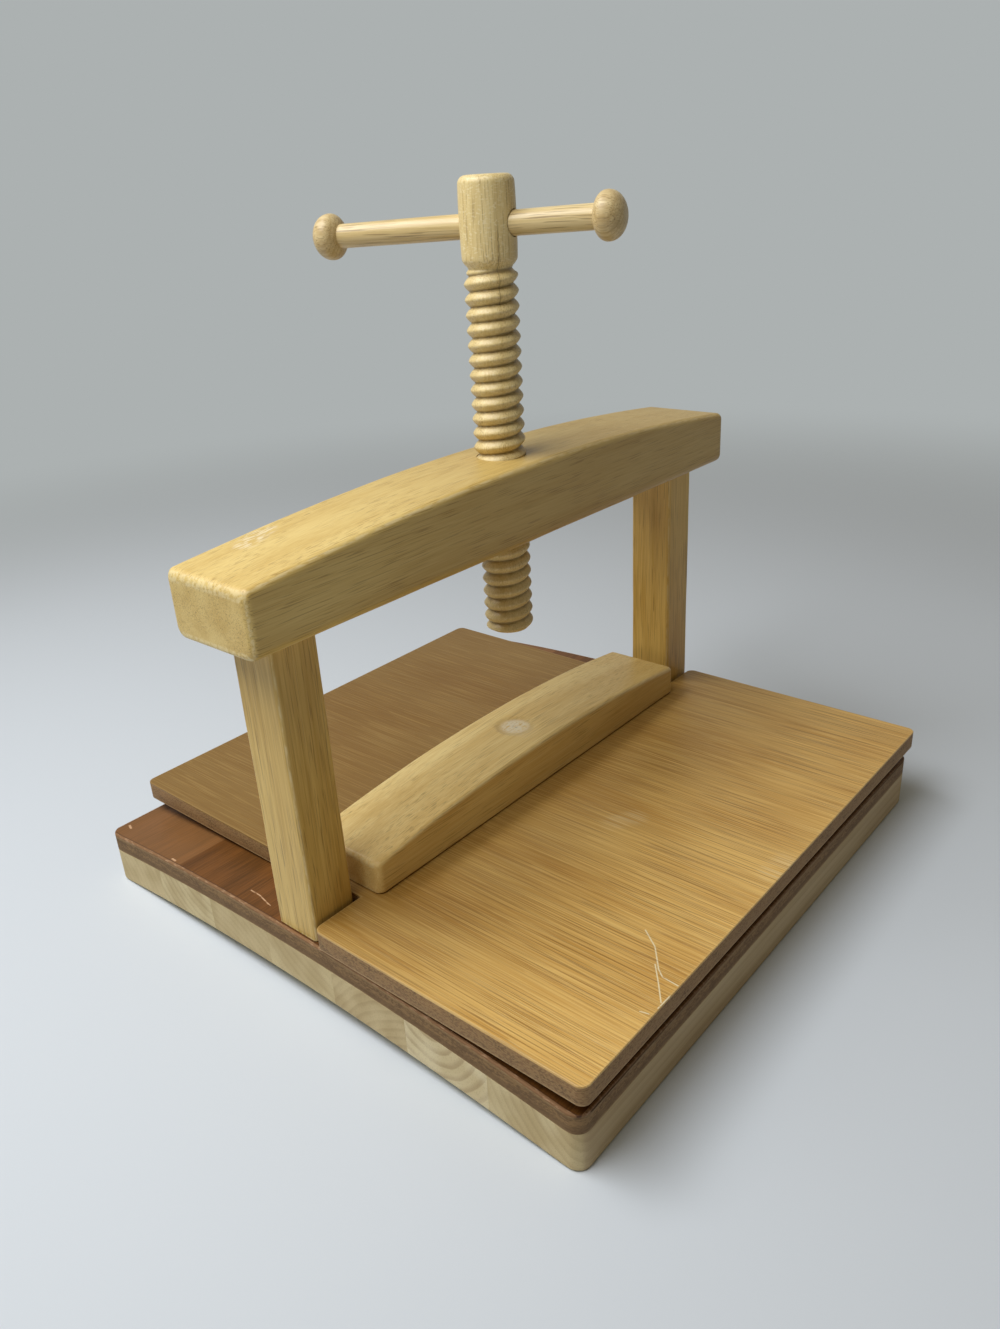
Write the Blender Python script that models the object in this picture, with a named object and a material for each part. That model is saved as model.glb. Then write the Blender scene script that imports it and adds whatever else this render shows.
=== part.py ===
"""Wooden flower press with one central screw.

A bowed, edge-glued base carries two posts and an arched beam. A wooden screw turns in the
beam's threaded hole and bears on the spreader bar of a press board, whose narrower rear part
passes between the posts. Metres, +Z up, +X along the beam, -Y the open front. The origin is on
the table under the middle of the base.
"""

import bmesh
import bpy
from math import ceil, cos, floor, pi, radians, sin, sqrt
from mathutils import Matrix, Vector

# Base: pine strips glued edge to edge, a brown panel on them and a thin red-brown face
base_length = 0.300
base_depth = 0.297
base_corner_radius = 0.006
base_crown = 0.0068
bearing_land = 0.008
strip_count = 7
strip_thickness = 0.0183
panel_thickness = 0.0079
base_face_thickness = 0.0007

# Posts, standing near the two ends of the base
post_thickness = 0.0222
post_depth = 0.0246
post_height = 0.1357
post_inset = 0.0018
post_arris_radius = 0.0018

# Beam on the posts, higher in the middle
beam_end_overhang = 0.0145
beam_depth = 0.0472
beam_end_height = 0.0266
beam_rise = 0.0092
beam_arris_radius = 0.003
beam_low_arris_radius = 0.004

# Dowels between posts and beam
post_dowel_radius = 0.006
post_dowel_embed = 0.018

# Press board: a core between two veneers, full width in front and narrow between the posts
board_end_overhang = 0.0022
board_side_overhang = 0.0004
board_core_thickness = 0.0072
board_face_thickness = 0.0006
board_corner_radius = 0.004
board_guide_gap = 0.0024
board_step_gap = 0.0016

# Spreader bar on the board, arched like the beam
spreader_end_gap = 0.0077
spreader_depth = 0.0426
spreader_end_height = 0.0155
spreader_rise = 0.0078
spreader_arris_radius = 0.003
spreader_corner_radius = 0.005
wear_mark_radius = 0.0101
wear_mark_depth = 0.0005

# Press screw, drawn with its tip this far above the spreader bar
daylight = 0.0554
screw_pitch = 0.00625
thread_radius = 0.0116
thread_depth = 0.0024
thread_length = 0.1626
tip_chamfer = 0.0012
thread_fade_length = 0.0030
head_radius = 0.0120
head_length = 0.0346
head_edge_radius = 0.0036
neck_height = 0.0012
thrust_pin_radius = 0.002
thrust_pin_length = 0.024

# Tommy bar through the head, pushed off centre, with a knob on each end
tommy_radius = 0.00505
tommy_span = 0.1153
tommy_shift = 0.0118
tommy_drop = 0.0190
tommy_heading = radians(-73)
tommy_tilt = radians(1.5)
knob_radius = 0.0098
knob_thickness = 0.0137
knob_socket_depth = 0.008

# Wood screws up through the base into the posts, and up through the board into the bar
post_screw_length = 0.055
post_screw_spacing = 0.0120
bar_screw_length = 0.0200
bar_screw_reach_share = 0.72
shank_radius = 0.0022
shank_point_length = 0.006
screw_head_radius = 0.0043
screw_head_height = 0.0026
screw_head_recess = 0.0008

# Clearances
glue_gap = 0.0003
thread_clearance = 0.0005
running_clearance = 0.0004
cut_overrun = 0.004
merge_distance = 0.000001

# Shapes given as shares: each knob point is a share of its thickness and of its radius, each
# thread point a share of the pitch and of the depth, each head point a share of its length
# from the neck and of its radius
knob_profile_shares = ((0.0, 0.62), (0.10, 0.84), (0.30, 0.98), (0.48, 1.0), (0.68, 0.92),
                       (0.85, 0.70), (0.96, 0.40))
thread_profile_shares = ((0.0, 0.0), (0.20, 0.78), (0.5, 1.0), (0.80, 0.78))
head_profile_shares = ((0.04, 0.92), (0.10, 0.985), (0.45, 1.0), (0.85, 0.965))
point_radius_share = 0.25

# Counts of sides and steps
corner_steps = 3
arris_steps = 2
arch_steps = 10
turns_sides = 20
small_sides = 12

# Places worked out from the sizes above
base_half = base_length / 2
depth_half = base_depth / 2
strip_width = base_depth / strip_count
panel_bottom = strip_thickness + glue_gap
base_face_bottom = panel_bottom + panel_thickness + glue_gap
base_top = base_face_bottom + base_face_thickness
deck = base_top + base_crown
post_outer = base_half - post_inset
post_inner = post_outer - post_thickness
post_centre = (post_outer + post_inner) / 2
post_bottom = deck + glue_gap
post_top = post_bottom + post_height
beam_half = post_outer + beam_end_overhang
beam_bottom = post_top + glue_gap
beam_top = beam_bottom + beam_end_height + beam_rise
board_back_bottom = deck + glue_gap
board_core_bottom = board_back_bottom + board_face_thickness + glue_gap
board_face_bottom = board_core_bottom + board_core_thickness + glue_gap
board_top = board_face_bottom + board_face_thickness
spreader_half = post_inner - spreader_end_gap
spreader_bottom = board_top + glue_gap
spreader_top = spreader_bottom + spreader_end_height + spreader_rise
tip_height = spreader_top + daylight
head_bottom = thread_length + neck_height
head_top = head_bottom + head_length
socket_bottom = glue_gap + knob_socket_depth


def crown_at(y):
    """Height of the bowed base over the table at y: a parabola between the two bearing lands."""
    reach = depth_half - bearing_land
    return base_crown * max(0.0, 1 - (y / reach) ** 2)


def quarter_inset(distance, radius):
    """How far a quarter-round draws an outline in, at a distance from the end of the piece."""
    short = max(0.0, radius - distance)
    return radius - sqrt(max(0.0, radius ** 2 - short ** 2))


def paint(name, hex_colour, roughness, metallic=0.0):
    """A plain Principled material from an sRGB hex colour."""
    def linear(value):
        return value / 12.92 if value <= 0.04045 else ((value + 0.055) / 1.055) ** 2.4

    finish = bpy.data.materials.new(name)
    finish.use_nodes = True
    shader = finish.node_tree.nodes["Principled BSDF"]
    channels = [linear(int(hex_colour[i:i + 2], 16) / 255) for i in (1, 3, 5)]
    shader.inputs["Base Color"].default_value = (*channels, 1.0)
    shader.inputs["Roughness"].default_value = roughness
    shader.inputs["Metallic"].default_value = metallic
    finish.diffuse_color = (*channels, 1.0)
    return finish


def place(name, shape, finish, location=(0, 0, 0), heading=0.0, parent=None, smooth=False):
    """Put a finished bmesh in the scene as one object and close its normals outwards."""
    bmesh.ops.recalc_face_normals(shape, faces=shape.faces)
    mesh = bpy.data.meshes.new(name)
    shape.to_mesh(mesh)
    shape.free()
    if smooth:
        mesh.shade_smooth()
        mesh.set_sharp_from_angle(angle=radians(40))
    piece = bpy.data.objects.new(name, mesh)
    bpy.context.collection.objects.link(piece)
    piece.parent = parent
    piece.location = location
    piece.rotation_euler = (0, 0, heading)
    if finish:
        mesh.materials.append(finish)
    return piece


def axis_empty(name, location, heading=0.0, tilt=0.0, parent=None):
    """An empty on a joint's axis, which carries the pieces that move on it. It is turned to
    its heading after its +X end has been raised by the tilt."""
    holder = bpy.data.objects.new(name, None)
    bpy.context.collection.objects.link(holder)
    holder.parent = parent
    holder.location = location
    holder.rotation_euler = (0, -tilt, heading)
    return holder


def loft(sections):
    """A closed body through sections with equal numbers of points, capped at both ends."""
    shape = bmesh.new()
    rings = [[shape.verts.new(point) for point in section] for section in sections]
    sides = len(rings[0])
    for here, there in zip(rings, rings[1:]):
        for i in range(sides):
            j = (i + 1) % sides
            shape.faces.new((here[i], here[j], there[j], there[i]))
    shape.faces.new(rings[0][::-1])
    shape.faces.new(rings[-1])
    return shape


def turned(profile, sides, along_x=False):
    """A turned body: rings at (place on the axis, radius), with flat ends."""
    rings = []
    for at, radius in profile:
        angles = [2 * pi * i / sides for i in range(sides)]
        rings.append([Vector((radius * cos(a), radius * sin(a), at)) for a in angles])
    shape = loft(rings)
    if along_x:
        shape.transform(Matrix.Rotation(pi / 2, 4, "Y"))
    return shape


def prism(outline, bottom, top):
    """A flat piece with a plan outline."""
    return loft([[(x, y, bottom) for x, y in outline], [(x, y, top) for x, y in outline]])


def rounded_outline(corners, radius):
    """Plan outline through corners given as (x, y, rounded); square-on corners get an arc."""
    points = []
    count = len(corners)
    for n, (x, y, rounded) in enumerate(corners):
        here = Vector((x, y))
        if not rounded:
            points.append(here)
            continue
        before = (Vector(corners[n - 1][:2]) - here).normalized()
        after = (Vector(corners[(n + 1) % count][:2]) - here).normalized()
        centre = here + (before + after) * radius
        for k in range(corner_steps + 1):
            turn = pi / 2 * k / corner_steps
            points.append(centre - after * radius * cos(turn) - before * radius * sin(turn))
    return points


def rounded_section(x, half_depth, low, high, low_radius, high_radius):
    """Rounded rectangle across a bar at x, counter-clockwise seen from +X."""
    corners = ((half_depth, high, high_radius, 0), (-half_depth, high, high_radius, 1),
               (-half_depth, low, low_radius, 2), (half_depth, low, low_radius, 3))
    section = []
    for y, z, radius, quarter in corners:
        centre_y = y - radius if y > 0 else y + radius
        centre_z = z - radius if z == high else z + radius
        for k in range(arris_steps + 1 if radius else 1):
            turn = pi / 2 * (quarter + k / arris_steps)
            section.append((x, centre_y + radius * cos(turn), centre_z + radius * sin(turn)))
    return section


def arched_bar(half_length, depth, bottom, end_height, rise, arris, corner, low_arris):
    """A bar along X whose top is a parabola: round arrises, and ends drawn in by a corner."""
    end_steps = [corner * (1 - cos(pi / 2 * k / corner_steps)) for k in range(corner_steps)]
    inner = half_length - corner
    middle = [inner - 2 * inner * k / arch_steps for k in range(arch_steps + 1)]
    stations = [half_length - d for d in end_steps] + middle
    stations += [d - half_length for d in reversed(end_steps)]
    sections = []
    for x in stations:
        from_end = half_length - abs(x)
        side = quarter_inset(from_end, corner)
        drop = quarter_inset(from_end, arris)
        lift = quarter_inset(from_end, low_arris)
        top = bottom + end_height + rise * (1 - (x / half_length) ** 2)
        sections.append(rounded_section(x, depth / 2 - side, bottom + lift, top - drop,
                                        low_arris, arris))
    return loft(sections)


def helix_body(low, high, growth, low_radius, high_radius, fade, cap_rings=()):
    """The screw's thread from low to high, as one closed body.

    Each column of points follows the profile down the pitch and starts one side further round
    and higher up, so rows run along the helix. Rows past an end lie on that end's ring, where
    their points merge. Growth widens the thread for cutting its nut. The crest falls away
    towards the top over the fade length, and cap_rings carry the body on above it.
    """
    steps = len(thread_profile_shares)
    first = floor(low / screw_pitch) * steps - steps
    last = ceil(high / screw_pitch) * steps + steps
    root = thread_radius - thread_depth + growth
    shape = bmesh.new()

    def point(column, row):
        share, depth_share = thread_profile_shares[row % steps]
        z = screw_pitch * (row // steps + share + column / turns_sides)
        radius = root + depth_share * thread_depth
        if fade:
            radius = root + (radius - root) * min(1.0, max(0.0, (high - z) / fade))
            radius = min(radius, low_radius + max(0.0, z - low))
        if z <= low:
            z, radius = low, low_radius
        if z >= high:
            z, radius = high, high_radius
        turn = 2 * pi * column / turns_sides
        return radius * cos(turn), radius * sin(turn), z

    grid = [[shape.verts.new(point(column, row)) for row in range(first, last + 1)]
            for column in range(turns_sides)]
    rows = last - first

    def corner(column, row):
        if column < turns_sides:
            return grid[column][row]
        return grid[0][min(row + steps, rows)]

    for column in range(turns_sides):
        for row in range(rows):
            ring = [corner(column, row), corner(column + 1, row),
                    corner(column + 1, row + 1), corner(column, row + 1)]
            if len(set(ring)) == len(ring):
                shape.faces.new(ring)
            elif len(set(ring)) > 2:
                shape.faces.new(list(dict.fromkeys(ring)))
    below = [grid[column][rows] for column in range(turns_sides)]
    for at, radius in cap_rings:
        angles = [2 * pi * i / turns_sides for i in range(turns_sides)]
        above = [shape.verts.new((radius * cos(a), radius * sin(a), at)) for a in angles]
        for i in range(turns_sides):
            j = (i + 1) % turns_sides
            shape.faces.new((below[i], below[j], above[j], above[i]))
        below = above
    bmesh.ops.remove_doubles(shape, verts=shape.verts, dist=merge_distance)
    bmesh.ops.holes_fill(shape, edges=[e for e in shape.edges if e.is_boundary])
    return shape


def cutter(name, shape, location=(0, 0, 0), heading=0.0, parent=None):
    """A body that only cuts: left out of the model and drawn as wire."""
    tool = place(name, shape, None, location, heading, parent)
    tool.hide_render = True
    tool.display_type = "WIRE"
    return tool


def cut(piece, tool):
    """Take one body out of another."""
    step = piece.modifiers.new("cut_" + tool.name, "BOOLEAN")
    step.operation = "DIFFERENCE"
    step.solver = "EXACT"
    step.object = tool


def wood_screw(length, growth=0.0):
    """A countersunk wood screw pointing up from its head; growth makes the hole it sits in."""
    profile = [(0, screw_head_radius + growth),
               (screw_head_height, shank_radius + growth),
               (length - shank_point_length, shank_radius + growth),
               (length + growth, shank_radius * point_radius_share + growth)]
    if growth:
        profile.insert(0, (-screw_head_recess - cut_overrun, screw_head_radius + growth))
    return turned(profile, small_sides)


def drive_screw(name, length, location, steel, pieces, carrier=None):
    """Put a wood screw up through some pieces from the underside at this place."""
    seat = Vector(location) + Vector((0, 0, screw_head_recess))
    place(name, wood_screw(length), steel, seat, parent=carrier, smooth=True)
    tool = cutter(name + "_hole", wood_screw(length, glue_gap), seat, parent=carrier)
    for piece in pieces:
        cut(piece, tool)


def base_rows(low_y, high_y):
    """Stations across the base between two glue lines, close together round its corners."""
    rounds = [base_corner_radius * (1 - cos(pi / 2 * k / corner_steps))
              for k in range(1, corner_steps + 1)]
    marks = [strip_width / 2 * k for k in range(1, 2 * strip_count)] + rounds
    marks += [bearing_land, base_depth - bearing_land] + [base_depth - d for d in rounds]
    inside = [m - depth_half for m in sorted(marks)]
    kept = [low_y]
    for y in inside:
        if kept[-1] + glue_gap < y < high_y - glue_gap:
            kept.append(y)
    return kept + [high_y]


def bowed_slab(low_y, high_y, bottom, top):
    """A layer of the base that follows its crown, with the base's rounded plan corners."""
    sections = []
    for y in base_rows(low_y, high_y):
        half = base_half - quarter_inset(depth_half - abs(y), base_corner_radius)
        lift = crown_at(y)
        sections.append([(-half, y, bottom + lift), (half, y, bottom + lift),
                         (half, y, top + lift), (-half, y, top + lift)])
    return loft(sections)


def make_base(pine, brown, red_brown):
    """Pine strips, the panel on them and its thin face. Returns them by name."""
    pieces = {}
    for n in range(strip_count):
        low = n * strip_width - depth_half + (glue_gap / 2 if n else 0)
        high = (n + 1) * strip_width - depth_half - (glue_gap / 2 if n < strip_count - 1 else 0)
        name = f"base_strip_{n + 1}"
        pieces[name] = place(name, bowed_slab(low, high, 0, strip_thickness), pine)
    pieces["base_panel"] = place("base_panel", bowed_slab(-depth_half, depth_half, panel_bottom,
                                 panel_bottom + panel_thickness), brown)
    pieces["base_face"] = place("base_face", bowed_slab(-depth_half, depth_half,
                                base_face_bottom, base_top), red_brown)
    return pieces


def make_post(name, side, hardwood):
    """One upright with round arrises, made lying along its own length and stood up."""
    half_x = post_thickness / 2
    section = [Vector((z, y)) for _, y, z in rounded_section(
        0, post_depth / 2, -half_x, half_x, post_arris_radius, post_arris_radius)]
    shape = prism(section, 0, post_height)
    return place(name, shape, hardwood, (side * post_centre, 0, post_bottom))


def make_dowel(name, side, hardwood, post, beam):
    """A dowel half in the post and half in the beam, with the holes it is glued into."""
    length = post_dowel_embed * 2
    at = (side * post_centre, 0, post_top - post_dowel_embed)
    dowel = place(name, turned([(0, post_dowel_radius), (length, post_dowel_radius)],
                               turns_sides), hardwood, at, smooth=True)
    hole = turned([(-glue_gap, post_dowel_radius + glue_gap),
                   (length + glue_gap, post_dowel_radius + glue_gap)], turns_sides)
    tool = cutter(name + "_hole", hole, at)
    cut(post, tool)
    cut(beam, tool)
    return dowel


def make_post_screws(name, side, steel, post, layers):
    """Two countersunk screws up through the base into one post."""
    for n, row in enumerate((-1, 1)):
        y = row * post_screw_spacing / 2
        drive_screw(f"{name}_{n + 1}", post_screw_length, (side * post_centre, y, crown_at(y)),
                    steel, (*layers, post))


def make_beam(hardwood):
    """The arched beam, with all its arrises and ends rounded."""
    shape = arched_bar(beam_half, beam_depth, beam_bottom, beam_end_height, beam_rise,
                       beam_arris_radius, beam_arris_radius, beam_low_arris_radius)
    return place("beam", shape, hardwood)


def board_outline():
    """Plan of the press board: full width in front of the posts, narrow between them."""
    wide = base_half + board_side_overhang
    narrow = post_inner - board_guide_gap
    front = -depth_half - board_end_overhang
    step = -post_depth / 2 - board_step_gap
    corners = ((-wide, front, True), (wide, front, True), (wide, step, True),
               (narrow, step, False), (narrow, -front, True), (-narrow, -front, True),
               (-narrow, step, False), (-wide, step, True))
    return rounded_outline(corners, board_corner_radius)


def make_board(brown, golden, hardwood, steel, carrier):
    """Press board in three layers, the spreader bar on it and the screws between them."""
    outline = board_outline()
    layers = []
    for name, bottom, thickness, finish in (
            ("press_board_back", board_back_bottom, board_face_thickness, brown),
            ("press_board_core", board_core_bottom, board_core_thickness, brown),
            ("press_board_face", board_face_bottom, board_face_thickness, golden)):
        shape = prism(outline, bottom - deck, bottom + thickness - deck)
        layers.append(place(name, shape, finish, parent=carrier))
    shape = arched_bar(spreader_half, spreader_depth, spreader_bottom - deck,
                       spreader_end_height, spreader_rise, spreader_arris_radius,
                       spreader_corner_radius, 0)
    spreader = place("spreader_bar", shape, hardwood, parent=carrier)
    wear = turned([(-wear_mark_depth, wear_mark_radius - wear_mark_depth),
                   (cut_overrun, wear_mark_radius + cut_overrun)], turns_sides)
    cut(spreader, cutter("wear_mark", wear, (0, 0, spreader_top - deck), parent=carrier))
    reach = spreader_half * bar_screw_reach_share
    for n, step in enumerate((-1, 0, 1)):
        drive_screw(f"spreader_screw_{n + 1}", bar_screw_length,
                    (step * reach, 0, board_back_bottom - deck), steel, (*layers, spreader),
                    carrier)


def make_screw(hardwood, steel, beam, carrier, bar_axis):
    """The press screw, its nut thread in the beam and the pin in its tip."""
    neck = thread_radius - thread_depth
    edge = [(head_top - head_edge_radius * (1 - sin(pi / 2 * k / corner_steps)),
             head_radius * head_profile_shares[-1][1]
             - head_edge_radius * (1 - cos(pi / 2 * k / corner_steps)))
            for k in range(1, corner_steps + 1)]
    rings = [(head_bottom + at * head_length, share * head_radius)
             for at, share in head_profile_shares] + edge
    tip_radius = thread_radius - tip_chamfer
    shape = helix_body(0, thread_length, 0, tip_radius, neck, thread_fade_length, rings)
    screw = place("press_screw", shape, hardwood, parent=carrier, smooth=True)
    grown = neck + thread_clearance
    nut = helix_body(beam_bottom - tip_height - cut_overrun, beam_top - tip_height + cut_overrun,
                     thread_clearance, grown, grown, 0)
    cut(beam, cutter("nut_thread", nut, carrier.location, tommy_heading))
    pin = turned([(0, thrust_pin_radius), (thrust_pin_length, thrust_pin_radius)], small_sides)
    place("thrust_pin", pin, steel, parent=carrier, smooth=True)
    bore = turned([(-cut_overrun, thrust_pin_radius + glue_gap),
                   (thrust_pin_length + glue_gap, thrust_pin_radius + glue_gap)], small_sides)
    cut(screw, cutter("pin_bore", bore, parent=carrier))
    cross = turned([(-head_radius - cut_overrun, tommy_radius + running_clearance),
                    (head_radius + cut_overrun, tommy_radius + running_clearance)],
                   turns_sides, along_x=True)
    cut(screw, cutter("tommy_hole", cross, parent=bar_axis))


def knob_shape(outward):
    """A flattened knob with a blind socket; its inner face is at zero and it grows outwards."""
    socket = tommy_radius + glue_gap
    profile = [(socket_bottom, socket), (0, socket)]
    profile += [(at * knob_thickness, share * knob_radius) for at, share in knob_profile_shares]
    profile.append((knob_thickness, knob_radius * point_radius_share))
    shape = turned(profile, turns_sides, along_x=True)
    if outward < 0:
        shape.transform(Matrix.Rotation(pi, 4, "Z"))
    return shape


def make_tommy_bar(hardwood, carrier):
    """The sliding cross bar and its two glued knobs."""
    half = tommy_span / 2
    rod = turned([(-half - knob_socket_depth, tommy_radius),
                  (half + knob_socket_depth, tommy_radius)], turns_sides, along_x=True)
    place("tommy_bar", rod, hardwood, (-tommy_shift, 0, 0), parent=carrier, smooth=True)
    for name, outward in (("front_knob", 1), ("back_knob", -1)):
        at = (outward * half - tommy_shift, 0, 0)
        place(name, knob_shape(outward), hardwood, at, parent=carrier, smooth=True)


def main():
    for old in list(bpy.data.objects):
        bpy.data.objects.remove(old, do_unlink=True)
    pine = paint("pine_end_grain", "#B5A67E", 0.7)
    brown = paint("brown_fibre_panel", "#66523B", 0.75)
    red_brown = paint("red_brown_veneer", "#84582F", 0.5)
    golden = paint("golden_veneer", "#C2994F", 0.45)
    hardwood = paint("lacquered_hardwood", "#D0B778", 0.4)
    steel = paint("zinc_plated_steel", "#A8A9AC", 0.35, 1.0)

    base = make_base(pine, brown, red_brown)
    beam = make_beam(hardwood)
    middle = base[f"base_strip_{(strip_count + 1) // 2}"]
    layers = (middle, base["base_panel"], base["base_face"])
    for side_name, side in (("left", -1), ("right", 1)):
        post = make_post(f"{side_name}_post", side, hardwood)
        make_dowel(f"{side_name}_post_dowel", side, hardwood, post, beam)
        make_post_screws(f"{side_name}_post_screw", side, steel, post, layers)

    board_axis = axis_empty("board_axis", (0, 0, deck))
    make_board(brown, golden, hardwood, steel, board_axis)
    screw_axis = axis_empty("screw_axis", (0, 0, tip_height), tommy_heading)
    tommy_axis = axis_empty("tommy_axis", (0, 0, head_top - tommy_drop), tilt=tommy_tilt,
                            parent=screw_axis)
    make_screw(hardwood, steel, beam, screw_axis, tommy_axis)
    make_tommy_bar(hardwood, tommy_axis)


main()
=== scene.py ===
"""Looks of the wooden flower press: finishes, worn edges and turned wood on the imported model.

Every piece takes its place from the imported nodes. Lengths are in metres; +Z is up, +X runs
along the beam and -Y is the open front.
"""

from math import pi, radians, tau

import bpy
import numpy as np
from mathutils import Matrix, Vector


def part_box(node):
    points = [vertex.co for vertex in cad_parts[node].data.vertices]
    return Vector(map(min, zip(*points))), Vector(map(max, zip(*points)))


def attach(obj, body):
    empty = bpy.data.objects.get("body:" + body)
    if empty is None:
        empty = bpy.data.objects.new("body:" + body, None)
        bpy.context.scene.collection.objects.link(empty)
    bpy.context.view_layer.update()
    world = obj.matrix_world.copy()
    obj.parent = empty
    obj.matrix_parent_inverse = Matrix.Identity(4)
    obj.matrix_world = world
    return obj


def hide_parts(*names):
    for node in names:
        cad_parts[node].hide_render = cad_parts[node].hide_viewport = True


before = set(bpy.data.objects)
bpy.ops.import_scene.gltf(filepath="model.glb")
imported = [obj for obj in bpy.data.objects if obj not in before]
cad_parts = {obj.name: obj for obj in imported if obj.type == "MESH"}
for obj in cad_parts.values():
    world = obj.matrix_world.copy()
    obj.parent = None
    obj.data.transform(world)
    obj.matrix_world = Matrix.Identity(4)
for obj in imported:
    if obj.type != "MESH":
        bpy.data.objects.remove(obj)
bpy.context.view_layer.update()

mm = 0.001

# Camera, solved from the edges of the press in the photograph
photo_width = 1000
photo_height = 1329
camera_place = Vector((-0.34754, -0.29878, 0.31357))
camera_heading = radians(-48.588)
camera_elevation = radians(24.780)
camera_roll = radians(-3.394)
focal_pixels = 1019.1
sensor_long_side = 36.0

# Base, with the arrises below and above its layers
base_corner = 6.0 * mm
base_crown = 6.8 * mm
bearing_land = 8.0 * mm
strip_arrises = (1.2 * mm, 0.15 * mm)
panel_arrises = (0.3 * mm, 0.15 * mm)
veneer_arrises = (0.1 * mm, 0.7 * mm)
fine_arris = 0.25 * mm

# How far a layer reaches down, and a strip sideways, to close the glue line beside it
lap = 0.3 * mm
strip_seam = 0.12 * mm

# Posts and beam
post_arris = 1.8 * mm
beam_rise = 9.2 * mm
beam_arris = 3.0 * mm
beam_low_arris = 4.2 * mm
beam_foot = 1.6 * mm
nut_clearance = 0.5 * mm

# Press board and its spreader bar
board_corner = 4.0 * mm
board_step_y = -13.9 * mm
board_guide_gap = 2.4 * mm
spreader_rise = 7.8 * mm
spreader_arris = 2.0 * mm
spreader_low_arris = 1.2 * mm
spreader_corner = 3.2 * mm
spreader_foot = 0.3 * mm
wear_ring_radius = 10.1 * mm
wear_ring_depth = 0.5 * mm
scuff_radius = 7.4 * mm

# Screw
screw_pitch = 6.25 * mm
thread_radius = 11.6 * mm
thread_depth = 2.4 * mm
thread_length = 162.6 * mm
thread_roundness = 1.5
tip_fade = 1.5 * mm
neck_fade = 2.0 * mm
head_radius = 12.0 * mm
head_rim = 3.4 * mm
head_neck = 1.2 * mm

# Sliding cross bar
tommy_heading = radians(-73)
tommy_tilt = radians(1.5)
tommy_shift = 11.8 * mm
tommy_span = 115.3 * mm
tommy_bar_radius = 5.05 * mm
tommy_bar_socket = 8.0 * mm
tommy_drop = 19.0 * mm
tommy_hole_gap = 0.35 * mm
knob_radius = 9.8 * mm
knob_thickness = 13.7 * mm
knob_fullness = 2.2
knob_heart = (14 * mm, -9 * mm)

# Hidden steel screws
post_screws = [f"{side}_post_screw_{n}" for side in ("left", "right") for n in (1, 2)]
bar_screws = [f"spreader_screw_{n}" for n in (1, 2, 3)]
countersink_depth = 2.6 * mm
screw_play = 0.3 * mm

# Fineness of the meshes: steps along pieces, and columns round them
corner_steps = 7
plan_corner_steps = 10
layer_step = 2.5 * mm
beam_steps = 170
spreader_steps = 110
post_steps = 40
dowel_rows = 60
knob_rows = 44
thread_rows_per_turn = 18
round_columns = 96
knob_columns = 72
bar_columns = 64
hole_columns = 48
bore_columns = 32
near_arris = np.array([0.5, 1.1, 1.9, 3.0, 5.0]) * mm
sharp_angle = radians(35)

# How far the wear of an arris reaches
arris_reach = 1.6 * mm

# Painted shade: where along X the beam and the spreader bar are painted darker towards their
# right ends, where the light falls off, and where along Y the golden veneer is painted darker and
# browner behind, in place of the sheen on its front
beam_falloff_shade = (-165 * mm, 50 * mm)
spreader_falloff_shade = (-60 * mm, 110 * mm)
veneer_shading_span = (-125 * mm, 50 * mm)

# Growth rings of the pine strips, front to back: the heart line (y, z) and the ring width in
# mm, the two wood colours and how strongly the late wood shows
pine_strips = (
    (-178, 52, 4.2, "#D6C496", "#C2AC7B", 0.22),
    (-77, 30, 5.4, "#E2D2A8", "#D0BC8C", 0.45),
    (-84, -36, 4.0, "#CFBB8C", "#BBA474", 0.28),
    (-40, 74, 4.6, "#D2BF8F", "#BEA877", 0.16),
    (78, -44, 3.8, "#CDB989", "#B9A372", 0.18),
    (58, 46, 4.4, "#D6C596", "#C0AB7A", 0.30),
    (190, -20, 4.2, "#D0BC8C", "#BCA674", 0.15),
)

# Marks of use on level faces: the width of each and the places (x, y) along it, in mm
scratch_paths = (
    (0.55, ((-70.4, -123.3), (-76.6, -131.7), (-86.5, -139.5), (-89.3, -142.9), (-89.9, -150.0))),
    (0.5, ((-85.0, -137.0), (-93.0, -143.5), (-100.9, -149.5))),
    (0.5, ((-109.2, -145.8), (-108.4, -149.0))),
    (0.5, ((-104.0, -150.2), (-96.0, -150.4))),
)
scuff_paths = (
    (11.0, ((-15.0, -70.0), (-5.0, -76.0))),
    (10.0, ((-8.0, -146.0), (4.0, -147.0))),
)
nick_paths = (
    (0.6, ((-141.8, 40.6), (-141.9, 34.3), (-144.0, 24.2))),
    (1.1, ((-140.9, 145.0), (-142.0, 142.0))),
    (1.1, ((-147.4, 95.5), (-147.6, 92.8))),
)
beam_scuff_paths = ((9.0, ((-134.0, 12.0), (-121.0, 17.0))),)

# Where the base's two veneer leaves meet
leaf_joint_y = 87.5 * mm

# The drying check down the screw's head: where it faces, and its two ends
check_heading = radians(-120.6)
check_bottom = 268 * mm
check_top = 306 * mm

# Light: the floor and where it fades into the backdrop, a dim warm surround as bounced room
# light, a wide key light from far above, and a near lamp that falls off from left to right
floor_size = 40.0
floor_drop = 0.2 * mm
floor_colour = "#D3DBE4"
backdrop_colour = "#ACB1B1"
floor_fade = (0.5, 1.2)
surround_colour = "#FFE6AE"
surround_level = 0.11
key_place = (-0.25, -0.10, 1.0)
key_strength = 0.28
key_angle = radians(32)
key_colour = (1.0, 0.99, 0.965)
ceiling_place = (-0.42, 0.23, 0.90)
ceiling_size = (0.85, 0.5)
ceiling_power = 9.4
lamp_aim = (0, 0, 0.1)


def box(node):
    """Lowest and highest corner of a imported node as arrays."""
    low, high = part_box(node)
    return np.array(low), np.array(high)


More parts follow.
